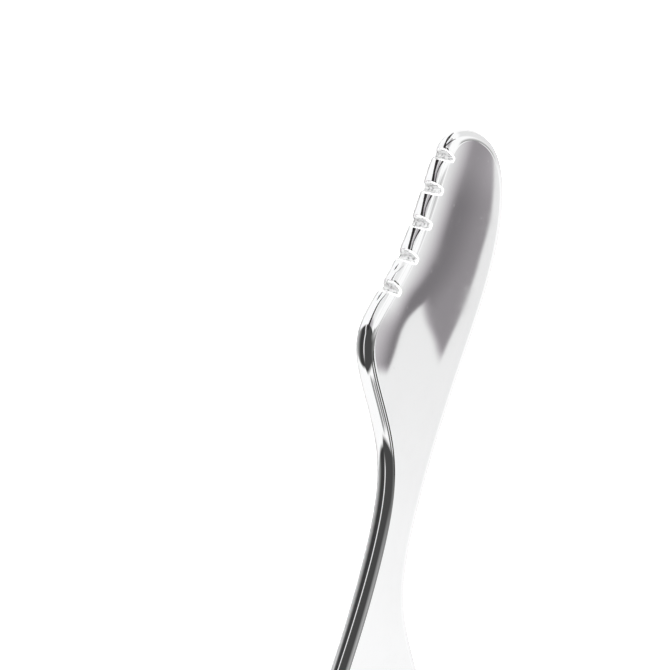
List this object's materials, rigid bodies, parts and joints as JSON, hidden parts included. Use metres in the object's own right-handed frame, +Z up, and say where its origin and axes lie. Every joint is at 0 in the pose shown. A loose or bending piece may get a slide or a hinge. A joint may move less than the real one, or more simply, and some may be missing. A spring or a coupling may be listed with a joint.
{
  "type": "clay modeling tool",
  "caption": "S-shaped double-ended hand tool in one piece of mirror-polished metal, for scraping, smoothing and ribbing clay with its rounded rim and notched blade edge.",
  "frame": {"origin": "on the resting plane, under the middle of the tool, which is the centre of its S-shaped outline", "axes": "+Y along the tool towards the notched tip, +Z up through the thickness, +X across the blades, away from the notched edge"},
  "size_m": [0.0344, 0.1646, 0.0042],
  "materials": {
    "polished_metal": "mirror polished, with the notches left rough from casting"
  },
  "bodies": {
    "root": {"tool_body": "polished_metal"}
  },
  "joints": []
}
